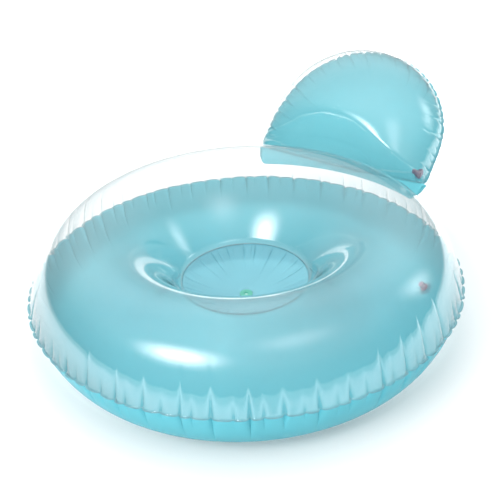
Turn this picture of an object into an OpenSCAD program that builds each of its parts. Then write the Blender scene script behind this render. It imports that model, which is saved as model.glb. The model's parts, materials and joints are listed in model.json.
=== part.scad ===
// Inflatable pool float: a welded ring with a seat hole, a slack seat floor and a pillow back.
// Each air chamber is a clear front or top sheet welded to a blue one, edge to edge.
// Origin: on the ground under the middle of the whole float. +Z up, pillow towards +Y.

/* [Ring] */
// Radius of the outer welded seam
seam_r = 450; // [350:10:550]
// Radius of the ring's crest, where it is highest
crest_r = 316; // [260:2:340]
// Radius of the inner welded seam round the seat
hole_r = 137; // [110:1:150]
// Height of the crest above the seam
top_h = 142; // [110:1:160]
// Depth of the ring below the seam
bottom_h = 127; // [100:1:150]
// Width of the level contact band under the ring
rest_w = 24; // [10:1:30]
// Width of the welded lip at both seams
lip_w = 4; // [3:0.5:6]

// Distance of the ring's axis in front of the origin
ring_forward = 110; // [90:1:140]

/* [Vinyl] */
// Thickness that every sheet is drawn with
sheet_t = 0.8; // [0.6:0.1:1.2]
// Steps along each quarter of the ring's section
section_steps = 16; // [8:1:24]

/* [Seat floor] */
// How far the middle of the slack floor hangs below its rim
floor_dip = 42; // [10:1:60]
// Radius of the drain grommet's flange
grommet_r = 13.5; // [10:0.5:18]
// Radius of the drain hole through the grommet
drain_r = 5; // [3:0.5:7]

/* [Pillow] */
// Radius of the pillow's round outline
pillow_r = 216; // [190:1:225]
// Height of the outline's centre above the base seam
pillow_rise = 77; // [50:1:90]
// Radius of the two bottom corners
pillow_corner_r = 14; // [10:1:30]
// How far the front sheet bulges from the seam
pillow_bulge = 142; // [100:1:145]
// How far the rear sheet bulges from the seam
pillow_back_bulge = 112; // [60:1:120]
// Share of the front bulge that is pinched in at the base, over the ring
base_press = 0.7; // [0.6:0.05:0.8]
// Backward lean of the pillow from upright, in degrees
pillow_lean = 44.5; // [40:0.5:50]
// Distance of the base seam's middle behind the ring's centre
pillow_y = 446; // [446:1:456]
// Height of the base seam above the ring's seam
pillow_z = 56; // [55:1:70]
// How far the ends of the pillow's base curve forwards round the ring
pillow_wrap = 20; // [0:1:25]
// Half the weld arc that holds the hinge strip on the ring, in degrees
strip_half_angle = 28; // [20:1:30]
// Height of the hinge strip's weld above the ring's seam
strip_z = 38; // [30:1:40]

/* [Valves] */
// Radius of a valve's welded flange
flange_r = 15; // [12:0.5:18]
// Outer radius of a valve's stem
stem_r = 6.2; // [5:0.1:7]
// Radius of the air passage through the stem
passage_r = 4.2; // [3:0.1:4.6]
// How far the stem draws out of its stowed place
stem_travel = 9.5; // [6:0.5:10]
// Station of the ring valve down the outer quarter of the section, in degrees
ring_valve_station = 52; // [35:1:60]
// Turn of the ring valve round the ring from +X, in degrees
ring_valve_turn = 43; // [0:1:60]
// Distance of the pillow valve to the side of the pillow's middle
pillow_valve_x = 164; // [60:1:170]
// Height of the pillow valve above the base seam
pillow_valve_v = 40; // [38:1:90]

/* [Hidden] */
$fn = 96;
CLEAR = [0.88, 0.92, 0.93, 0.35];
BLUE = [0.45, 0.78, 0.84, 0.75];
LILAC = [0.72, 0.62, 0.78, 0.9];
GREEN = [0.36, 0.73, 0.66];
// Gap between pieces that move past each other
play = 0.1;
// Gap left round a piece set into a sheet
set_gap = 0.3;
seam_z = bottom_h;

// Everything is drawn round the ring's axis, then moved forward with it
module in_place() {
    translate([0, -ring_forward, 0]) children();
}

// ---- Ring section: an ellipse quarter outside the crest, a parabola down to the seat ----
function outer_quarter(h, flat) = [for (i = [0 : section_steps])
    let(t = 90 * i / section_steps, a = seam_r - crest_r - flat / 2)
    [seam_r - a + a * cos(t), h * sin(t)]];
function inner_slope(h, flat) = [for (i = [1 : section_steps])
    let(u = i / section_steps, a = crest_r - flat / 2 - hole_r)
    [hole_r + a * (1 - u), h * (1 - u * u)]];
function rest_band(h, flat) = flat > 0 ? [[crest_r - flat / 2, h]] : [];
function section(h, flat) = concat(outer_quarter(h, flat), rest_band(h, flat), inner_slope(h, flat));

// The same path moved square to itself, towards the chamber
function tangent(p, i) = p[min(i + 1, len(p) - 1)] - p[max(i - 1, 0)];
function inset(p, d) = [for (i = [0 : len(p) - 1])
    let(g = tangent(p, i), n = [-g[1], g[0]] / norm(g)) p[i] + d * n];

// Closed outline of one ring sheet with a level lip at each seam, seam plane at zero
function sheet_outline(h, flat) =
    let(skin = section(h - sheet_t, flat), lining = inset(skin, sheet_t))
    concat([[seam_r + lip_w, -sheet_t], [seam_r + lip_w, 0]],
        skin,
        [[hole_r - lip_w, 0], [hole_r - lip_w, -sheet_t], [hole_r + sheet_t, -sheet_t]],
        [for (i = [len(lining) - 2 : -1 : 0]) lining[i]],
        [[seam_r - sheet_t, -sheet_t]]);

module ring_sheet(h, flat) {
    rotate_extrude() polygon(sheet_outline(h, flat));
}

// ---- Valve places: local +Z points out of the chamber, the origin lies on the sheet's skin ----
under_a = seam_r - crest_r - rest_w / 2;
valve_out = [cos(ring_valve_station) / under_a, -sin(ring_valve_station) / bottom_h];
module at_ring_valve() {
    rotate([0, 0, ring_valve_turn])
        translate([seam_r - under_a + under_a * cos(ring_valve_station), 0,
            seam_z - bottom_h * sin(ring_valve_station)])
        rotate([0, atan2(valve_out[0], valve_out[1]), 0]) children();
}
module valve_hole() {
    cylinder(h = 14, r = flange_r + set_gap, center = true);
}

module ring_top_sheet() {
    color(CLEAR) in_place() translate([0, 0, seam_z + sheet_t]) ring_sheet(top_h, 0);
}

module ring_bottom_sheet() {
    color(BLUE) in_place() difference() {
        translate([0, 0, seam_z - sheet_t]) mirror([0, 0, 1]) ring_sheet(bottom_h, rest_w);
        at_ring_valve() valve_hole();
    }
}

// ---- Seat floor: a slack disc welded under the inner lips, with a drain in its middle ----
floor_rim_z = seam_z - 2 * sheet_t;
floor_steps = 10;
floor_bowl_r = hole_r - lip_w;
drain_cut_r = drain_r + 2.5;
function floor_z(r) = -floor_dip * (1 - pow(r / floor_bowl_r, 2));
function floor_path() = [for (i = [0 : floor_steps])
    let(r = drain_cut_r + (floor_bowl_r - drain_cut_r) * i / floor_steps) [r, floor_z(r)]];
function floor_outline() = let(top = floor_path()) concat(
    top,
    [[hole_r, 0], [hole_r, -sheet_t], [floor_bowl_r, -sheet_t]],
    [for (i = [floor_steps - 1 : -1 : 0]) top[i] - [0, sheet_t]]);

module seat_floor_sheet() {
    color(BLUE) in_place() translate([0, 0, floor_rim_z]) rotate_extrude() polygon(floor_outline());
}

// Drain grommet: a flange on the floor with a barrel through it
drain_z = floor_rim_z + floor_z(drain_cut_r);
grommet_t = 2;
barrel_h = 5;
grommet_lift = floor_z(grommet_r) - floor_z(drain_cut_r);
module drain_grommet() {
    color(GREEN) in_place() translate([0, 0, drain_z + grommet_lift + play]) difference() {
        union() {
            cylinder(h = grommet_t, r = grommet_r);
            translate([0, 0, grommet_t - barrel_h - grommet_lift])
                cylinder(h = barrel_h + grommet_lift, r = drain_cut_r - play);
        }
        translate([0, 0, -2 * barrel_h]) cylinder(h = 4 * barrel_h, r = drain_r);
    }
}

// Backing washer pressed on the barrel under the floor
washer_t = 1.4;
module drain_washer() {
    color(GREEN) in_place() translate([0, 0, drain_z - sheet_t - play - washer_t]) difference() {
        cylinder(h = washer_t, r = grommet_r - 1.5);
        translate([0, 0, -1]) cylinder(h = washer_t + 2, r = drain_cut_r);
    }
}

// ---- Pillow: a half round on straight sides, cut by a straight base, blown up between its seams ----
bulge_steps = 9;
pillow_lip = 4;
side_x = pillow_r - pillow_corner_r;
// Outline from the right end of the base, over the top, to its left end, then back along the base
function corner_points(side) = [for (i = [1 : 4])
    let(a = -90 + 18 * (side > 0 ? i : 5 - i))
    [side * (side_x + pillow_corner_r * cos(a)), pillow_corner_r * (1 + sin(a))]];
function side_points(side) = [for (i = [0 : 2])
    let(rise = (side > 0 ? i : 2 - i) / 3)
    [side * pillow_r, pillow_corner_r + (pillow_rise - pillow_corner_r) * rise]];
function round_points() = [for (a = [0 : 7.5 : 180]) [pillow_r * cos(a), pillow_rise + pillow_r * sin(a)]];
function base_points() = [for (i = [0 : 7]) [side_x * (-1 + 2 * i / 7), 0]];
outline = concat(corner_points(1), side_points(1), round_points(), side_points(-1),
    corner_points(-1), base_points());
pillow_mid = [0, pillow_rise + 20];

// Rise of a sheet from the middle (0) to the seam (1), as a share of its bulge
function puff(t) = pow(1 - pow(t, 2.3), 0.53);
// The pinch at the base sits a little to one side, where the front sheet folds in over the ring
press_x = -14;
press_half = 110;
press_up = 43;
function pinch(q) = base_press * exp(-pow((q[0] - press_x) / press_half, 2) - pow(q[1] / press_up, 2));
function bulged(q, t, face) = puff(t) * (face > 0 ? pillow_bulge * (1 - pinch(q)) : pillow_back_bulge);
function grown(p, d) = pillow_mid + (p - pillow_mid) * (1 + d / norm(p - pillow_mid));
// From pillow coordinates (across, up, forwards) to the float's frame
wrap_up = pillow_rise + 60;
function wrapped(u, v, d) = d + pillow_wrap * pow(u / pillow_r, 2) * max(0, min(1, 1 - v / wrap_up));
function placed(u, v, d) = let(w = wrapped(u, v, d)) [u,
    pillow_y + v * sin(pillow_lean) - w * cos(pillow_lean),
    seam_z + pillow_z + v * cos(pillow_lean) + w * sin(pillow_lean)];

// Rings of points, from the lip's edge at the seam in to the middle
function shell_ring(face, t, lift, grow) = [for (p = outline)
    let(q = pillow_mid + (grown(p, grow) - pillow_mid) * t)
    placed(q[0], q[1], face * (lift + bulged(q, t, face)))];
function inner_rings(face, lift, grow) = [for (i = [1 : bulge_steps])
    shell_ring(face, cos(90 * i / (bulge_steps + 1)), lift, grow)];
function skin_rings(face) = concat(
    [shell_ring(face, 1, sheet_t, pillow_lip), shell_ring(face, 1, sheet_t, 0)],
    inner_rings(face, sheet_t, 0));
function lining_rings(face) = concat(
    [shell_ring(face, 1, 0, pillow_lip), shell_ring(face, 1, 0, -sheet_t)],
    inner_rings(face, 0, -sheet_t));
function flat_list(rings) = [for (r = rings) for (p = r) p];

// One face of the pillow as a closed thin shell: face is 1 in front and -1 behind
module pillow_sheet(face) {
    n = len(outline);
    m = bulge_steps + 2;
    skin = flat_list(skin_rings(face));
    lining = flat_list(lining_rings(face));
    peak = bulged(pillow_mid, 0, face);
    top = [for (lift = [sheet_t, 0]) placed(pillow_mid[0], pillow_mid[1], face * (lift + peak))];
    points = concat(skin, lining, top);
    base = n * m;
    walls = [for (k = [0 : m - 2]) for (i = [0 : n - 1])
        let(j = (i + 1) % n, a = k * n + i, b = k * n + j, c = a + n, d = b + n)
        each [[a, b, d], [a, d, c], [base + a, base + d, base + b], [base + a, base + c, base + d]]];
    rim = [for (i = [0 : n - 1]) let(j = (i + 1) % n) each [[i, base + j, j], [i, base + i, base + j]]];
    caps = [for (i = [0 : n - 1]) let(j = (i + 1) % n, a = (m - 1) * n)
        each [[a + i, a + j, 2 * base], [base + a + i, 2 * base + 1, base + a + j]]];
    faces = concat(walls, rim, caps);
    polyhedron(points, face > 0 ? [for (f = faces) [f[2], f[1], f[0]]] : faces);
}

// Distance from the pillow's middle to its round top, sides or base in direction a
function pillow_reach(a) = let(
    drop = pillow_mid[1] - pillow_rise,
    s = -drop * sin(a) + sqrt(pillow_r * pillow_r - pow(drop * cos(a), 2)))
    pillow_mid[1] + s * sin(a) >= pillow_rise ? s
        : min(pillow_r / max(abs(cos(a)), 0.001), -pillow_mid[1] / sin(a));
// Point on the rear skin, and the slope there from a small step each way
function rear_at(u, v) = let(
    p = [u, v] - pillow_mid,
    t = min(norm(p) / pillow_reach(atan2(p[1], p[0])), 1))
    placed(u, v, -sheet_t - bulged([u, v], t, -1));
valve_spot = rear_at(pillow_valve_x, pillow_valve_v);
valve_du = rear_at(pillow_valve_x + 5, pillow_valve_v) - rear_at(pillow_valve_x - 5, pillow_valve_v);
valve_dv = rear_at(pillow_valve_x, pillow_valve_v + 5) - rear_at(pillow_valve_x, pillow_valve_v - 5);
valve_normal = let(c = cross(valve_dv, valve_du)) c / norm(c);
module at_pillow_valve() {
    translate(valve_spot)
        rotate([0, acos(valve_normal[2]), atan2(valve_normal[1], valve_normal[0])]) children();
}

module pillow_front_sheet() {
    color(CLEAR) in_place() pillow_sheet(1);
}

module pillow_rear_sheet() {
    color(BLUE) in_place() difference() {
        pillow_sheet(-1);
        at_pillow_valve() valve_hole();
    }
}

// ---- Hinge strip: a single blue flap from a weld on the ring up to the pillow's base ----
strip_steps = 20;
strip_gap = 1;
strip_top_x = pillow_r - 4;
strip_r = crest_r + (seam_r - crest_r) * sqrt(1 - pow(strip_z / top_h, 2)) + set_gap + 0.6;
// From the weld arc (rise 0) to just under the pillow's lip (rise 1)
function strip_point(i, rise, back) = let(
    s = -1 + 2 * i / strip_steps,
    low = [strip_r * sin(strip_half_angle * s), strip_r * cos(strip_half_angle * s), seam_z + strip_z],
    high = placed(strip_top_x * s, -pillow_lip - strip_gap, 0))
    low + (high - low) * rise + [0, back, 0];
module pillow_hinge_strip() {
    n = strip_steps + 1;
    points = concat(
        [for (i = [0 : strip_steps]) strip_point(i, 0, 0)],
        [for (i = [0 : strip_steps]) strip_point(i, 1, 0)],
        [for (i = [0 : strip_steps]) strip_point(i, 0, sheet_t)],
        [for (i = [0 : strip_steps]) strip_point(i, 1, sheet_t)]);
    front = [for (i = [0 : strip_steps - 1]) each [[i, i + 1, n + i + 1], [i, n + i + 1, n + i]]];
    rear = [for (f = front) [f[2] + 2 * n, f[1] + 2 * n, f[0] + 2 * n]];
    low = [for (i = [0 : strip_steps - 1]) each [[i, 2 * n + i, 2 * n + i + 1], [i, 2 * n + i + 1, i + 1]]];
    high = [for (f = low) [f[2] + n, f[1] + n, f[0] + n]];
    last = strip_steps;
    ends = [[0, n, 3 * n], [0, 3 * n, 2 * n],
        [last, 3 * n + last, n + last], [last, 2 * n + last, 3 * n + last]];
    color(BLUE) in_place() polyhedron(points, [for (f = concat(front, rear, low, high, ends)) [f[2], f[1], f[0]]]);
}

// ---- Valve pieces, drawn along local +Z with the sheet's skin at zero, stem stowed ----
flange_t = 1.2;
sleeve_wall = 2;
sleeve_deep = 6;
rim_t = 1.8;
rim_r = stem_r + 1.3;
stem_deep = sleeve_deep + stem_travel + 3;
cap_t = 2.5;
cap_r = 7.2;
cap_shank = 6;
flap_t = 0.8;
flap_gap = 0.3;
stem_bore = stem_r + play;
module valve_flange() {
    color(LILAC) difference() {
        union() {
            translate([0, 0, -flange_t]) cylinder(h = flange_t, r = flange_r);
            translate([0, 0, -sleeve_deep]) cylinder(h = sleeve_deep, r = stem_bore + sleeve_wall);
        }
        translate([0, 0, -sleeve_deep - 1]) cylinder(h = sleeve_deep + 2, r = stem_bore);
    }
}

// The stem: a tube that slides through the flange, with a rim that stops on it
module valve_stem() {
    color(LILAC) difference() {
        union() {
            translate([0, 0, -stem_deep]) cylinder(h = stem_deep + play + rim_t, r = stem_r);
            translate([0, 0, play]) cylinder(h = rim_t, r = rim_r);
        }
        translate([0, 0, -stem_deep - 1]) cylinder(h = stem_deep + rim_t + 2, r = passage_r);
    }
}

// The check flap that closes the stem's inner end
module valve_flap() {
    color(LILAC) translate([0, 0, -stem_deep - flap_gap - flap_t]) cylinder(h = flap_t, r = stem_r - 0.6);
}

cap_z = 2 * play + rim_t;
module valve_cap() {
    color(LILAC) union() {
        translate([0, 0, cap_z]) cylinder(h = cap_t, r = cap_r);
        translate([0, 0, cap_z - cap_shank]) cylinder(h = cap_shank, r = passage_r - play);
    }
}

// Tether: a flat strap from the stem's rim that loops out and back to the side of the cap
strap_w = 5;
strap_t = 0.9;
loop_x = cap_r + 5;
strap_low = play + (rim_t - strap_t) / 2;
strap_high = cap_z + cap_t - strap_t - 0.2;
loop_r = (strap_high + strap_t - strap_low) / 2;
module valve_tether() {
    color(LILAC) union() {
        translate([rim_r, -strap_w / 2, strap_low]) cube([loop_x - rim_r, strap_w, strap_t]);
        translate([cap_r + set_gap, -strap_w / 2, strap_high])
            cube([loop_x - cap_r - set_gap, strap_w, strap_t]);
        translate([loop_x, strap_w / 2, strap_low + loop_r]) rotate([90, 0, 0]) intersection() {
            difference() {
                cylinder(h = strap_w, r = loop_r);
                translate([0, 0, -1]) cylinder(h = strap_w + 2, r = loop_r - strap_t);
            }
            translate([0, -loop_r, 0]) cube([loop_r, 2 * loop_r, strap_w]);
        }
    }
}

module ring_valve_flange() { in_place() at_ring_valve() valve_flange(); }
module ring_valve_stem() { in_place() at_ring_valve() valve_stem(); }
module ring_valve_flap() { in_place() at_ring_valve() valve_flap(); }
module ring_valve_cap() { in_place() at_ring_valve() valve_cap(); }
module ring_valve_tether() { in_place() at_ring_valve() valve_tether(); }
module pillow_valve_flange() { in_place() at_pillow_valve() valve_flange(); }
module pillow_valve_stem() { in_place() at_pillow_valve() valve_stem(); }
module pillow_valve_flap() { in_place() at_pillow_valve() valve_flap(); }
module pillow_valve_cap() { in_place() at_pillow_valve() valve_cap(); }
module pillow_valve_tether() { in_place() at_pillow_valve() valve_tether(); }

ring_top_sheet();
ring_bottom_sheet();
seat_floor_sheet();
drain_grommet();
drain_washer();
pillow_front_sheet();
pillow_rear_sheet();
pillow_hinge_strip();
ring_valve_flange();
ring_valve_stem();
ring_valve_flap();
ring_valve_cap();
ring_valve_tether();
pillow_valve_flange();
pillow_valve_stem();
pillow_valve_flap();
pillow_valve_cap();
pillow_valve_tether();
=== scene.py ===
# Inflatable pool float: a welded vinyl ring with a seat hole, a slack floor and a pillow back.
import json
import math
import random

import bmesh
import bpy
from mathutils import Matrix, Vector


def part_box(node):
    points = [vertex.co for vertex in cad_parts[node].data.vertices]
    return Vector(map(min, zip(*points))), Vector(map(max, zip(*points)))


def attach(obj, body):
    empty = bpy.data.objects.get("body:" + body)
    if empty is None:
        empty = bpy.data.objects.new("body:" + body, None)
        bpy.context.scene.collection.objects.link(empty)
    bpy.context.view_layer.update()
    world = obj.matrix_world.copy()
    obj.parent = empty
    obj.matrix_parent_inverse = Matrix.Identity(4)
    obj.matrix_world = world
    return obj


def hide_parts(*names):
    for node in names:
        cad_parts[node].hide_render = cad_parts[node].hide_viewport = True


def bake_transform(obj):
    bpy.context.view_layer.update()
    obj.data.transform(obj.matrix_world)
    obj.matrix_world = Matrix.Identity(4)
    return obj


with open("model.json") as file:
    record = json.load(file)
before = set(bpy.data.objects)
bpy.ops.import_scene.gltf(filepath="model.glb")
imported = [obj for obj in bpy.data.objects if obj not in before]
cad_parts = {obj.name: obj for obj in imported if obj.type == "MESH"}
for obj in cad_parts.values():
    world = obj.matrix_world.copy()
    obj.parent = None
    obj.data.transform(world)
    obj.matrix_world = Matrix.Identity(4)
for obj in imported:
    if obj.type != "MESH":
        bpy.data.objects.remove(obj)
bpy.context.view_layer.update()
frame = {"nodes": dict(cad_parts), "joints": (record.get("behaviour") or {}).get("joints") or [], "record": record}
joints = {j["name"]: j for j in frame["joints"]}

# ---- Camera ----
# A long lens looks down on the float from its front right, with the pillow at the back.
# It aims a little past the ring's middle, and leans slightly to one side.
scene = bpy.context.scene
top_lo, top_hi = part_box("ring_top_sheet")
under_lo, under_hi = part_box("ring_bottom_sheet")
LIP = 0.004
ring_axis = Vector(((top_lo.x + top_hi.x) / 2, (top_lo.y + top_hi.y) / 2, 0))
seam_r = (top_hi.x - top_lo.x) / 2 - LIP
seam_z = top_lo.z
top_h = top_hi.z - seam_z
bottom_h = seam_z - under_lo.z

azimuth = math.radians(33.5)
elevation = math.radians(31.9)
roll = math.radians(-3.1)
aim_side = 0.029 * seam_r
aim_far = 0.237 * seam_r
distance = 5.0 * seam_r
LENS_MM = 73.6
view_flat = Vector((-math.sin(azimuth), math.cos(azimuth), 0))
view_right = Vector((math.cos(azimuth), math.sin(azimuth), 0))
forward = view_flat * math.cos(elevation) - Vector((0, 0, math.sin(elevation)))
view_up = view_right.cross(forward)
aim = ring_axis + Vector((0, 0, seam_z)) + view_right * aim_side + view_flat * aim_far
right_axis = view_right * math.cos(roll) + view_up * math.sin(roll)
up_axis = view_up * math.cos(roll) - view_right * math.sin(roll)
camera_data = bpy.data.cameras.new("camera")
camera_data.lens = LENS_MM
camera_data.clip_end = 50
camera = bpy.data.objects.new("camera", camera_data)
scene.collection.objects.link(camera)
place = Matrix((right_axis, up_axis, -forward)).transposed().to_4x4()
place.translation = aim - forward * distance
camera.matrix_world = place
scene.camera = camera

# ---- Studio ----
# A pale seamless floor under a sky that darkens towards the horizon. The floor also glows,
# most of all under the float, and three soft-edged lamps draw the highlights on the vinyl.
scene.view_settings.view_transform = "Standard"
scene.cycles.max_bounces = 28
scene.cycles.transmission_bounces = 28
scene.cycles.transparent_max_bounces = 40
scene.cycles.caustics_refractive = False
scene.cycles.caustics_reflective = False


def grid_mesh(name, rows, closed=False):
    """A smooth sheet through rows of points; closed joins the last column to the first."""
    mesh = bmesh.new()
    verts = [[mesh.verts.new(p) for p in row] for row in rows]
    columns = len(rows[0])
    for below, above in zip(verts, verts[1:]):
        for i in range(columns if closed else columns - 1):
            j = (i + 1) % columns
            mesh.faces.new((below[i], below[j], above[j], above[i]))
    bmesh.ops.recalc_face_normals(mesh, faces=mesh.faces)
    data = bpy.data.meshes.new(name)
    mesh.to_mesh(data)
    mesh.free()
    data.shade_smooth()
    piece = bpy.data.objects.new(name, data)
    scene.collection.objects.link(piece)
    return piece


FLOOR_HALF = 8.0
TABLE_GLOW = 0.75
TABLE_SHIFT = 0.1
TABLE_FULL_R, TABLE_EDGE_R = 0.39, 0.48
FLOOR_GLOW = 1.0
GLOW_START_R, GLOW_FULL_R = 0.5, 1.2
FADE_SHIFT = 1.2
FADE_START_R, FADE_END_R = 2.3, 3.6
FADE_LEFT = 0.45
floor_corners = [[Vector((x * FLOOR_HALF, y * FLOOR_HALF, 0)) for x in (-1, 1)] for y in (-1, 1)]
floor = grid_mesh("floor", floor_corners)
paint = bpy.data.materials.new("floor_paint")
paint.use_nodes = True
nodes = paint.node_tree.nodes
links = paint.node_tree.links
shader = nodes["Principled BSDF"]
shader.inputs["Roughness"].default_value = 0.8
shader.inputs["Specular IOR Level"].default_value = 0.0
mottle = nodes.new("ShaderNodeTexNoise")
mottle.inputs["Scale"].default_value = 3.0
ramp = nodes.new("ShaderNodeValToRGB")
ramp.color_ramp.elements[0].color = (0.95, 0.95, 0.95, 1)
ramp.color_ramp.elements[1].color = (0.97, 0.97, 0.97, 1)
links.new(mottle.outputs["Fac"], ramp.inputs["Fac"])
from_ring = nodes.new("ShaderNodeVectorMath")
from_ring.operation = "DISTANCE"
from_ring.inputs[1].default_value = ring_axis
ground = nodes.new("ShaderNodeTexCoord")
glow = nodes.new("ShaderNodeMapRange")
glow.interpolation_type = "SMOOTHSTEP"
glow.inputs["From Min"].default_value = GLOW_START_R
glow.inputs["From Max"].default_value = GLOW_FULL_R
glow.inputs["To Max"].default_value = FLOOR_GLOW
links.new(ground.outputs["Object"], from_ring.inputs[0])
links.new(from_ring.outputs["Value"], glow.inputs["Value"])
# A glowing disc under the float lights the vinyl from below
table = nodes.new("ShaderNodeMapRange")
table.interpolation_type = "SMOOTHSTEP"
table.inputs["From Min"].default_value = TABLE_EDGE_R
table.inputs["From Max"].default_value = TABLE_FULL_R
table.inputs["To Max"].default_value = TABLE_GLOW
both = nodes.new("ShaderNodeMath")
from_table = nodes.new("ShaderNodeVectorMath")
from_table.operation = "DISTANCE"
from_table.inputs[1].default_value = ring_axis + view_flat * TABLE_SHIFT
links.new(ground.outputs["Object"], from_table.inputs[0])
links.new(from_table.outputs["Value"], table.inputs["Value"])
links.new(glow.outputs["Result"], both.inputs[0])
links.new(table.outputs["Result"], both.inputs[1])
# Painted light and shade: the floor's colour and glow are darkened with distance from a point behind the float, so
# the pale floor is brightest around the float and falls away softly in front of the camera
from_back = nodes.new("ShaderNodeVectorMath")
from_back.operation = "DISTANCE"
from_back.inputs[1].default_value = ring_axis + view_flat * FADE_SHIFT
fade_out = nodes.new("ShaderNodeMapRange")
fade_out.interpolation_type = "SMOOTHSTEP"
fade_out.inputs["From Min"].default_value = FADE_END_R
fade_out.inputs["From Max"].default_value = FADE_START_R
fade_out.inputs["To Min"].default_value = FADE_LEFT
links.new(ground.outputs["Object"], from_back.inputs[0])
links.new(from_back.outputs["Value"], fade_out.inputs["Value"])
for source, socket in ((ramp.outputs["Color"], "Base Color"), (both.outputs[0], "Emission Color")):
    dim = nodes.new("ShaderNodeMix")
    dim.data_type = "RGBA"
    dim.blend_type = "MULTIPLY"
    dim.inputs["Factor"].default_value = 1.0
    links.new(source, dim.inputs["A"])
    links.new(fade_out.outputs["Result"], dim.inputs["B"])
    links.new(dim.outputs["Result"], shader.inputs[socket])
shader.inputs["Emission Strength"].default_value = 1.0
floor.data.materials.append(paint)

world = bpy.data.worlds.new("studio")
scene.world = world
world.use_nodes = True
sky = world.node_tree
background = sky.nodes["Background"]
background.inputs["Strength"].default_value = 1.0
where = sky.nodes.new("ShaderNodeTexCoord")
split = sky.nodes.new("ShaderNodeSeparateXYZ")
fade = sky.nodes.new("ShaderNodeValToRGB")
WALL_GLOW = 0.4
WALL_EDGE, WALL_FULL = 0.15, 0.75
SKY = ((0.0, 0.08), (0.3, 0.3), (0.65, 0.9), (1.0, 1.35))
for place_on, _ in SKY[1:-1]:
    fade.color_ramp.elements.new(place_on)
for stop, (place_on, value) in zip(fade.color_ramp.elements, SKY):
    stop.position = place_on
    stop.color = (value, value, value, 1)
sky.links.new(where.outputs["Generated"], split.inputs[0])
sky.links.new(split.outputs["Z"], fade.inputs["Fac"])
# The sky is paler on the side behind the float, as if a pale wall stood there
facing = sky.nodes.new("ShaderNodeVectorMath")
facing.operation = "DOT_PRODUCT"
facing.inputs[1].default_value = view_flat
wall = sky.nodes.new("ShaderNodeMapRange")
wall.interpolation_type = "SMOOTHSTEP"
wall.inputs["From Min"].default_value = WALL_EDGE
wall.inputs["From Max"].default_value = WALL_FULL
wall.inputs["To Max"].default_value = WALL_GLOW
lit = sky.nodes.new("ShaderNodeMix")
lit.data_type = "RGBA"
lit.blend_type = "ADD"
lit.inputs["Factor"].default_value = 1.0
sky.links.new(where.outputs["Generated"], facing.inputs[0])
sky.links.new(facing.outputs["Value"], wall.inputs["Value"])
sky.links.new(fade.outputs["Color"], lit.inputs["A"])
sky.links.new(wall.outputs["Result"], lit.inputs["B"])
sky.links.new(lit.outputs["Result"], background.inputs["Color"])


def soft_lamp(name, side, rise, size, tall, power):
    """A diffused oval lamp: side in degrees left of straight ahead, rise in degrees above level."""
    data = bpy.data.lights.new(name, "AREA")
    data.shape = "ELLIPSE"
    data.size = size
    data.size_y = tall
    data.energy = power
    data.use_nodes = True
    tree = data.node_tree
    spot = tree.nodes.new("ShaderNodeNewGeometry")
    middle_off = tree.nodes.new("ShaderNodeVectorMath")
    middle_off.operation = "DISTANCE"
    middle_off.inputs[1].default_value = (0.5, 0.5, 0)
    edge = tree.nodes.new("ShaderNodeMapRange")
    edge.interpolation_type = "SMOOTHSTEP"
    edge.inputs["From Min"].default_value = 0.5
    edge.inputs["From Max"].default_value = 0.0
    tree.links.new(spot.outputs["Parametric"], middle_off.inputs[0])
    tree.links.new(middle_off.outputs["Value"], edge.inputs["Value"])
    soften = tree.nodes.new("ShaderNodeMath")
    soften.operation = "POWER"
    soften.inputs[1].default_value = LAMP_FALLOFF
    tree.links.new(edge.outputs["Result"], soften.inputs[0])
    tree.links.new(soften.outputs[0], tree.nodes["Emission"].inputs["Strength"])
    lamp = bpy.data.objects.new(name, data)
    scene.collection.objects.link(lamp)
    turn = math.radians(side)
    lift = math.radians(rise)
    level = view_flat * math.cos(turn) - view_right * math.sin(turn)
    towards = level * math.cos(lift) + Vector((0, 0, math.sin(lift)))
    lamp.location = ring_axis + Vector((0, 0, seam_z)) + towards * LAMP_REACH
    lamp.rotation_euler = towards.to_track_quat("Z", "Y").to_euler()


LAMP_REACH = 3.0
LAMP_FALLOFF = 2.2
soft_lamp("key_lamp", side=143, rise=37, size=3.6, tall=2.3, power=290)
soft_lamp("top_lamp", side=212, rise=56, size=3.4, tall=2.6, power=36)
soft_lamp("side_lamp", side=-76, rise=24, size=1.8, tall=2.6, power=36)

# ---- Vinyl film ----
# Calendered PVC film, welded while flat and blown up: glossy, clear or tinted right through.
# Lamps shine through it, it is faintly hazy, and its face carries slow ripples from rolling.
SLOW_WAVES, FINE_WAVES = 7.0, 90.0
HAZE_SPREAD = 0.03
RIPPLE_HEIGHT = 0.002
EDGE_BLEND = 0.08
THIN_IOR, VINYL_IOR = 1.06, 1.5
ripple = bpy.data.node_groups.new("film_face", "ShaderNodeTree")
for socket, kind, value in (
    ("Tint", "NodeSocketColor", None), ("Streak", "NodeSocketFloat", 0.05),
    ("Ripple", "NodeSocketFloat", 0.1), ("Gloss", "NodeSocketFloat", 0.04),
):
    added = ripple.interface.new_socket(socket, in_out="INPUT", socket_type=kind)
    if value is not None:
        added.default_value = value
for socket, kind in (
    ("Color", "NodeSocketColor"), ("Roughness", "NodeSocketFloat"), ("Normal", "NodeSocketVector"),
):
    ripple.interface.new_socket(socket, in_out="OUTPUT", socket_type=kind)
group_in = ripple.nodes.new("NodeGroupInput")
group_out = ripple.nodes.new("NodeGroupOutput")
coords = ripple.nodes.new("ShaderNodeTexCoord")
slow = ripple.nodes.new("ShaderNodeTexNoise")
slow.inputs["Scale"].default_value = SLOW_WAVES
slow.inputs["Detail"].default_value = 2.0
fine = ripple.nodes.new("ShaderNodeTexNoise")
fine.inputs["Scale"].default_value = FINE_WAVES
fine.inputs["Detail"].default_value = 3.0
ripple.links.new(coords.outputs["Object"], slow.inputs["Vector"])
ripple.links.new(coords.outputs["Object"], fine.inputs["Vector"])
shade = ripple.nodes.new("ShaderNodeHueSaturation")
spread = ripple.nodes.new("ShaderNodeMath")
spread.operation = "MULTIPLY_ADD"
ripple.links.new(slow.outputs["Fac"], spread.inputs[0])
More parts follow.
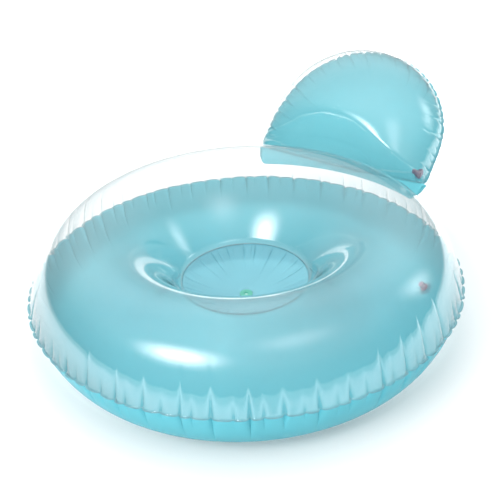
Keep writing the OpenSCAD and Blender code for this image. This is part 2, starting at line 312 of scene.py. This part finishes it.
ripple.links.new(group_in.outputs["Streak"], spread.inputs[1])
spread.inputs[2].default_value = 0.98
ripple.links.new(spread.outputs[0], shade.inputs["Value"])
ripple.links.new(group_in.outputs["Tint"], shade.inputs["Color"])
ripple.links.new(shade.outputs["Color"], group_out.inputs["Color"])
haze = ripple.nodes.new("ShaderNodeMath")
haze.operation = "MULTIPLY_ADD"
ripple.links.new(fine.outputs["Fac"], haze.inputs[0])
haze.inputs[1].default_value = HAZE_SPREAD
ripple.links.new(group_in.outputs["Gloss"], haze.inputs[2])
ripple.links.new(haze.outputs[0], group_out.inputs["Roughness"])
bump = ripple.nodes.new("ShaderNodeBump")
bump.inputs["Distance"].default_value = RIPPLE_HEIGHT
ripple.links.new(group_in.outputs["Ripple"], bump.inputs["Strength"])
ripple.links.new(slow.outputs["Fac"], bump.inputs["Height"])
ripple.links.new(bump.outputs["Normal"], group_out.inputs["Normal"])


def film(
    name, tint, deep_tint, body, gloss, ripple_strength, coat, coat_roughness, shade, streak=0.05,
):
    """A see-through vinyl: tint is what one sheet lets through, body the share that scatters."""
    material = bpy.data.materials.new(name)
    material.use_nodes = True
    tree = material.node_tree
    shader = tree.nodes["Principled BSDF"]
    face = tree.nodes.new("ShaderNodeGroup")
    face.node_tree = ripple
    face.inputs["Tint"].default_value = (*tint, 1)
    face.inputs["Streak"].default_value = streak
    face.inputs["Ripple"].default_value = ripple_strength
    face.inputs["Gloss"].default_value = gloss
    # Seen edge-on, light crosses more of the film, so it looks deeper in colour
    slant = tree.nodes.new("ShaderNodeLayerWeight")
    slant.inputs["Blend"].default_value = EDGE_BLEND
    deepen = tree.nodes.new("ShaderNodeMix")
    deepen.data_type = "RGBA"
    deepen.inputs["B"].default_value = (*deep_tint, 1)
    tree.links.new(slant.outputs["Facing"], deepen.inputs["Factor"])
    tree.links.new(face.outputs["Color"], deepen.inputs["A"])
    tree.links.new(deepen.outputs["Result"], shader.inputs["Base Color"])
    tree.links.new(face.outputs["Roughness"], shader.inputs["Roughness"])
    tree.links.new(face.outputs["Normal"], shader.inputs["Normal"])
    shader.inputs["IOR"].default_value = THIN_IOR
    shader.inputs["Transmission Weight"].default_value = 1.0 - body
    shader.inputs["Coat Weight"].default_value = coat
    shader.inputs["Coat Roughness"].default_value = coat_roughness
    shader.inputs["Coat IOR"].default_value = VINYL_IOR
    # Lamps shine through: each of the sheet's two faces takes the root of its shade
    passing = tree.nodes.new("ShaderNodeBsdfTransparent")
    passing.inputs["Color"].default_value = (*[math.sqrt(shade)] * 3, 1)
    path = tree.nodes.new("ShaderNodeLightPath")
    mix = tree.nodes.new("ShaderNodeMixShader")
    tree.links.new(path.outputs["Is Shadow Ray"], mix.inputs[0])
    tree.links.new(shader.outputs[0], mix.inputs[1])
    tree.links.new(passing.outputs[0], mix.inputs[2])
    tree.links.new(mix.outputs[0], tree.nodes["Material Output"].inputs["Surface"])
    return material


clear_film = film(
    "clear_film", tint=(0.965, 0.97, 0.97), deep_tint=(0.66, 0.68, 0.68), body=0.02,
    gloss=0.02, ripple_strength=0.04, coat=1.0, coat_roughness=0.06, shade=0.94,
)
blue_film = film(
    "blue_film", tint=(0.24, 0.78, 0.89), deep_tint=(0.12, 0.62, 0.74), body=0.5,
    gloss=0.06, ripple_strength=0.04, coat=0.15, coat_roughness=0.45, shade=0.7,
)
# Painted shade: the seat floor is the same blue film given a darker tint and a darker edge tint, so it reads
# shaded
seat_film_painted_shade = film(
    "seat_film_painted_shade", tint=(0.24, 0.54, 0.62), deep_tint=(0.16, 0.46, 0.55), body=0.5,
    gloss=0.06, ripple_strength=0.3, coat=0.5, coat_roughness=0.15, shade=0.7, streak=0.35,
)


def finish_piece(piece, body, slot, material, *nodes, thick=0.0004):
    """Gives a sheet its real thickness and finish, and sets it on its body in place of CAD nodes."""
    if thick:
        solid = piece.modifiers.new("thickness", "SOLIDIFY")
        solid.thickness = thick
        solid.offset = 0
    piece.data.materials.append(material)
    if body:
        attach(piece, body)
    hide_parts(*nodes)
    return piece


# ---- Ring ----
# Two flat rings of film welded together round both edges, clear above and blue below.
# Blown up, the outer weld is too long for its new size, so it gathers into about ninety puckers.
crest_r = abs(frame["record"]["mounts"][0]["pos_m"][0])
floor_lo, floor_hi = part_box("seat_floor_sheet")
hole_r = (floor_hi.x - floor_lo.x) / 2
REST_W = 0.024
WELD_GAP = 0.0003
dice = random.Random(11)


def puckers(count, deep, reach, jitter=0.22):
    """Creases round a seam: where each one starts (0 to 1), its depth, its reach and its lean."""
    creases = []
    for k in range(count):
        big = 1.0 if k % 2 == 0 else 0.45
        creases.append((
            (k + dice.uniform(-jitter, jitter)) / count,
            deep * big * dice.uniform(0.6, 1.15),
            reach * big * dice.uniform(0.55, 1.35),
            dice.uniform(-1, 1),
        ))
    return creases


CREASE_SHARP, CREASE_SWELL = 11.0, 0.13
CELL_STEPS = (0.0, 0.02, 0.05, 0.1, 0.17, 0.28, 0.42, 0.58, 0.72, 0.83, 0.9, 0.95, 0.98)


def crease_columns(creases):
    """Columns that crowd towards each crease: (place round the seam, cell, share of the cell)."""
    columns = []
    count = len(creases)
    for k in range(count):
        start = creases[k][0]
        end = creases[(k + 1) % count][0] + (1 if k == count - 1 else 0)
        columns += [(start + (end - start) * x, k, x) for x in CELL_STEPS]
    return columns


def crease_depth(creases, k, x, s):
    """How far the sheet sinks at distance s from the seam, and how far the seam leans there."""
    _, deep_a, reach_a, lean_a = creases[k]
    _, deep_b, reach_b, lean_b = creases[(k + 1) % len(creases)]
    fade_a = math.exp(-((s / reach_a) ** 1.8))
    fade_b = math.exp(-((s / reach_b) ** 1.8))
    sink = deep_a * fade_a * (1 - x) ** CREASE_SHARP + deep_b * fade_b * x ** CREASE_SHARP
    swell = CREASE_SWELL * (deep_a * fade_a + deep_b * fade_b) * 4 * x * (1 - x)
    sway = (lean_a * (1 - x) + lean_b * x) * math.exp(-s / 0.018)
    return sink - swell, sway


OUTER_ROWS = 34
TIP = 0.0085
TIP_REACH = 0.03
INNER_ROWS = 26


def ring_section(height, flat):
    """One sheet's section from the outer seam over the crest to the inner seam: (r, z)."""
    reach = seam_r - crest_r - flat / 2
    slope = crest_r - flat / 2 - hole_r
    path = []
    for i in range(OUTER_ROWS + 1):
        turn = math.pi / 2 * (i / OUTER_ROWS) ** 1.35
        z = height * math.sin(turn)
        drawn_in = TIP * (1 - math.exp(-z / TIP_REACH)) * math.cos(turn)
        path.append((seam_r - reach + reach * math.cos(turn) - drawn_in, z))
    for i in range(1, INNER_ROWS + 1):
        u = i / INNER_ROWS
        path.append((hole_r + slope * (1 - u), height * (1 - u * u)))
    return path


def ring_sheet(name, height, flat, side, creases):
    """One ring sheet: side is 1 for the upper one and -1 for the lower one."""
    columns = crease_columns(creases)
    section = ring_section(height - WELD_GAP, flat)
    smooth, sink, sway = [], [], []
    lengths = [0.0]
    for a, b in zip(section, section[1:]):
        lengths.append(lengths[-1] + math.dist(a, b))
    rows = [(seam_r + LIP, 0.0, 0.0), (seam_r + LIP / 2, 0.0, 0.0)]
    rows += [(r, z, s) for (r, z), s in zip(section, lengths)]
    rows += [(hole_r - LIP / 2, 0.0, 1.0), (hole_r - LIP, 0.0, 1.0)]
    for r, z, s in rows:
        line, sunk, swayed = [], [], []
        for turn, k, x in columns:
            a = 2 * math.pi * turn
            height_at = seam_z + side * (z + WELD_GAP)
            line.append(ring_axis + Vector((r * math.cos(a), r * math.sin(a), height_at)))
            down, lean = crease_depth(creases, k, x, s)
            sunk.append(down)
            swayed.append(SEAM_SWAY * lean)
        smooth.append(line)
        sink.append(sunk)
        sway.append(swayed)
    out = []
    for i, row in enumerate(smooth):
        before = smooth[max(i - 1, 2)] if 2 <= i <= len(smooth) - 3 else None
        after = smooth[min(i + 1, len(smooth) - 3)] if before else None
        line = []
        for j, p in enumerate(row):
            radial = Vector((p.x - ring_axis.x, p.y - ring_axis.y, 0)).normalized()
            if before is None or i == 2:
                normal = radial
            else:
                along = after[j] - before[j]
                around = Vector((-radial.y, radial.x, 0))
                normal = around.cross(along) * side
                normal.normalize()
            line.append(p - normal * sink[i][j] + Vector((0, 0, sway[i][j])))
        out.append(line)
    return grid_mesh(name, out, closed=True)


SEAM_SWAY = 0.0016
OFF_FLOOR = 0.0005
ring_creases = puckers(88, 0.0088, 0.036)
top_sheet = ring_sheet("ring_clear_sheet", top_h, 0.0, 1, ring_creases)
bottom_sheet = ring_sheet("ring_blue_sheet", bottom_h - OFF_FLOOR, REST_W, -1, ring_creases)
finish_piece(top_sheet, "ring", "clear_vinyl", clear_film, "ring_top_sheet")
finish_piece(bottom_sheet, "ring", "blue_vinyl", blue_film, "ring_bottom_sheet")

# ---- Seat floor ----
# A round of the same blue film welded under the inner lips. It is cut a little large, so it
# hangs in a shallow bowl, slack at the rim, with a moulded drain pressed through its middle.
drain_cut = 0.0075
bowl_r = hole_r - LIP
HALF_SHEET = 0.0004
floor_dip = floor_hi.z - HALF_SHEET - (floor_lo.z + HALF_SHEET)
floor_creases = puckers(46, 0.0042, 0.046, 0.4)
FLOOR_ROWS = 26
floor_rows = []
for i in range(FLOOR_ROWS + 2):
    r = hole_r if i == 0 else bowl_r - (bowl_r - drain_cut) * (i - 1) / FLOOR_ROWS
    line = []
    for turn, k, x in crease_columns(floor_creases):
        a = 2 * math.pi * turn
        sink, _ = crease_depth(floor_creases, k, x, max(hole_r - r, 0) + 0.004)
        z = 0.0 if i == 0 else -floor_dip * (1 - (r / bowl_r) ** 2)
        fall = sink if i > 1 else 0.0
        height_at = floor_hi.z - HALF_SHEET + z - fall
        line.append(ring_axis + Vector((r * math.cos(a), r * math.sin(a), height_at)))
    floor_rows.append(line)
seat_floor = grid_mesh("seat_floor", floor_rows, closed=True)
# The seat floor's film carries painted shade: a darker copy of the blue film
finish_piece(seat_floor, "ring", "blue_vinyl", seat_film_painted_shade, "seat_floor_sheet")

# ---- Pillow ----
# A clear and a blue sheet welded round a D-shaped outline, and blown up through their own valve.
# The round edge gathers into puckers, and the straight base is held by the strip below it.
hinge = Vector(joints["pillow_hinge"]["pos_m"])
PILLOW_LEAN = math.radians(44.5)
PILLOW_R = 0.216
PILLOW_RISE = 0.077
PILLOW_CORNER = 0.014
FRONT_BULGE = 0.142
REAR_BULGE = 0.112
WRAP = 0.020
WRAP_UP = PILLOW_RISE + 0.060
middle = Vector((0, PILLOW_RISE + 0.02))


def pillow_point(u, v, d):
    """A point across, up and in front of the pillow's own plane, in the float's frame."""
    w = d + WRAP * (u / PILLOW_R) ** 2 * min(max(1 - v / WRAP_UP, 0), 1)
    return hinge + Vector((
        u,
        v * math.sin(PILLOW_LEAN) - w * math.cos(PILLOW_LEAN),
        v * math.cos(PILLOW_LEAN) + w * math.sin(PILLOW_LEAN),
    ))


side_x = PILLOW_R - PILLOW_CORNER
outline_parts = (
    ("corner", PILLOW_CORNER * math.pi / 2), ("side", PILLOW_RISE - PILLOW_CORNER),
    ("round", PILLOW_R * math.pi), ("left side", PILLOW_RISE - PILLOW_CORNER),
    ("left corner", PILLOW_CORNER * math.pi / 2), ("base", 2 * side_x),
)
outline_run = sum(run for _, run in outline_parts)


def outline_at(share):
    """The outline from the right end of the base, up, over the top and back along the base."""
    d = (share % 1.0) * outline_run
    for part, run in outline_parts:
        if d <= run:
            break
        d -= run
    if part == "corner":
        a = -math.pi / 2 + d / PILLOW_CORNER
        return Vector((side_x + PILLOW_CORNER * math.cos(a), PILLOW_CORNER * (1 + math.sin(a))))
    if part == "side":
        return Vector((PILLOW_R, PILLOW_CORNER + d))
    if part == "round":
        a = d / PILLOW_R
        return Vector((PILLOW_R * math.cos(a), PILLOW_RISE + PILLOW_R * math.sin(a)))
    if part == "left side":
        return Vector((-PILLOW_R, PILLOW_RISE - d))
    if part == "left corner":
        a = math.pi + d / PILLOW_CORNER
        return Vector((-side_x + PILLOW_CORNER * math.cos(a), PILLOW_CORNER * (1 + math.sin(a))))
    return Vector((-side_x + d, 0))


PILLOW_ROWS = 64
PILLOW_SWAY = 0.0014
pillow_creases = puckers(64, 0.0052, 0.034)
base_from = 1.0 - 2 * side_x / outline_run
pillow_creases = [
    (at, deep * (0.25 if at > base_from - 0.02 else 1.0), reach, lean)
    for at, deep, reach, lean in pillow_creases
]


def smooth_step(low, high, value):
    """0 below low and 1 above high, with a smooth rise between."""
    x = min(max((value - low) / (high - low), 0), 1)
    return x * x * (3 - 2 * x)


PUFF_POWER, PUFF_ROOT = 2.3, 0.53
PINCH_SIDE, PINCH_DEEP = 0.018, 0.62
PINCH_HALF, PINCH_TALL = 0.112, 0.056
FOLD_DEEP, FOLD_TALL = 0.0050, 0.042


def bulged(q, t, side):
    """How far a sheet stands off the seam's plane; the front one is pinched and folded at its base."""
    puff = max(1 - min(t, 1.0) ** PUFF_POWER, 0) ** PUFF_ROOT
    if side < 0:
        return REAR_BULGE * puff
    wide = ((q.x + PINCH_SIDE) / PINCH_HALF) ** 2
    pinch = PINCH_DEEP * math.exp(-((wide + (q.y / PINCH_TALL) ** 2) ** 1.2))
    fold = FOLD_DEEP * (1 - smooth_step(0.86, 1.06, wide + (q.y / FOLD_TALL) ** 2))
    return FRONT_BULGE * puff * (1 - pinch) - fold * smooth_step(1.0, 0.94, t)


def pillow_sheet(name, side):
    """One pillow sheet: side is 1 in front and -1 behind."""
    columns = crease_columns(pillow_creases)
    rows = []
    edge = [outline_at(turn) for turn, _, _ in columns]
    for i in range(PILLOW_ROWS + 2):
        line = []
        t = 1.0 if i < 2 else math.cos(math.pi / 2 * ((i - 1) / PILLOW_ROWS) ** 1.2)
        grow = LIP if i == 0 else 0.0
        for (turn, k, x), p in zip(columns, edge):
            out = (p - middle).normalized()
            reach = (p - middle).length
            q = middle + (p - middle) * t + out * grow
            depth = 0.0 if i < 2 else bulged(q, t, side)
            # The distance from the seam along the sheet, near enough
            s = math.hypot((1 - t) * reach, depth)
            down, lean = crease_depth(pillow_creases, k, x, s)
            flare = max(1 - t ** PUFF_POWER, 1e-4) ** -0.47
            slope = 0.9 * PUFF_POWER * 0.12 * t ** 1.3 * flare / reach
            outward = slope / math.hypot(1, slope) if t < 1 else 1.0
            q -= out * down * outward
            stand = depth + WELD_GAP - down * math.sqrt(1 - outward ** 2)
            d = side * stand + PILLOW_SWAY * lean
            line.append(pillow_point(q.x, q.y, d))
        rows.append(line)
    return grid_mesh(name, rows, closed=True)


pillow_front = pillow_sheet("pillow_clear_sheet", 1)
pillow_rear = pillow_sheet("pillow_blue_sheet", -1)
finish_piece(pillow_front, "pillow", "clear_vinyl", clear_film, "pillow_front_sheet")
finish_piece(pillow_rear, "pillow", "blue_vinyl", blue_film, "pillow_rear_sheet")

# ---- Hinge strip ----
# A single flap of blue film, welded along an arc high on the ring's outer face.
# It carries the pillow's base seam. On the real float it bends when the pillow leans back; here it is built in one
# shape and set on no body.
strip_lo, strip_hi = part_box("pillow_hinge_strip")
weld_z = strip_lo.z - seam_z
weld_r = crest_r + (seam_r - crest_r) * math.sqrt(1 - (weld_z / top_h) ** 2)
weld_half = math.asin(strip_hi.x / weld_r)
STRIP_TOP = PILLOW_R - 0.004
STRIP_COLUMNS = 90
STRIP_ROWS = 10
STRIP_ROUND = 0.88
STRIP_OFF, STRIP_SPREAD = 0.0012, 0.010
STRIP_RIPPLE, STRIP_BELLY = 0.0016, 0.001
strip_rows = []
for i in range(STRIP_ROWS + 1):
    rise = i / STRIP_ROWS
    line = []
    for j in range(STRIP_COLUMNS + 1):
        s = -1 + 2 * j / STRIP_COLUMNS
        a = weld_half * s
        back = weld_r * math.cos(a) + STRIP_OFF
        low = ring_axis + Vector((weld_r * math.sin(a), back, seam_z + weld_z))
        high = pillow_point(STRIP_TOP * s, -LIP / 2, 0)
        past = max(abs(s) - STRIP_ROUND, 0) / (1 - STRIP_ROUND)
        low = low.lerp(high, 0.9 * (1 - math.sqrt(1 - past ** 2)))
        spread = Vector((STRIP_SPREAD * s ** 9 * math.sin(math.pi * rise ** 0.8), 0, 0))
        wave = math.sin(5.5 * math.pi * (s + 1) + 0.8)
        ripple_depth = STRIP_RIPPLE * wave * math.sin(math.pi * rise)
        belly = STRIP_BELLY * math.sin(math.pi * rise)
        line.append(low.lerp(high, rise) + spread + Vector((0, ripple_depth + belly, 0)))
    strip_rows.append(line)
strip = grid_mesh("hinge_strip", strip_rows)
finish_piece(strip, None, "blue_vinyl", blue_film, "pillow_hinge_strip")
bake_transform(strip)

# ---- Valves and drain ----
# Soft PVC mouldings: lilac valves and a green drain grommet, welded into the film.
# Their shapes are the CAD's own, so they only get a finish here.


def moulded(name, colour, through):
    """A soft, slightly cloudy moulding that passes some light."""
    material = bpy.data.materials.new(name)
    material.use_nodes = True
    tree = material.node_tree
    shader = tree.nodes["Principled BSDF"]
    face = tree.nodes.new("ShaderNodeGroup")
    face.node_tree = ripple
    face.inputs["Tint"].default_value = (*colour, 1)
    face.inputs["Gloss"].default_value = 0.28
    face.inputs["Streak"].default_value = 0.12
    tree.links.new(face.outputs["Color"], shader.inputs["Base Color"])
    tree.links.new(face.outputs["Roughness"], shader.inputs["Roughness"])
    tree.links.new(face.outputs["Normal"], shader.inputs["Normal"])
    shader.inputs["Transmission Weight"].default_value = through
    return material


lilac = moulded("lilac_moulding", (0.38, 0.27, 0.48), 0.3)
green = moulded("green_moulding", (0.12, 0.55, 0.42), 0.15)
for name, node in frame["nodes"].items():
    if "valve" in name or "drain" in name:
        node.data.materials.clear()
        node.data.materials.append(lilac if "valve" in name else green)
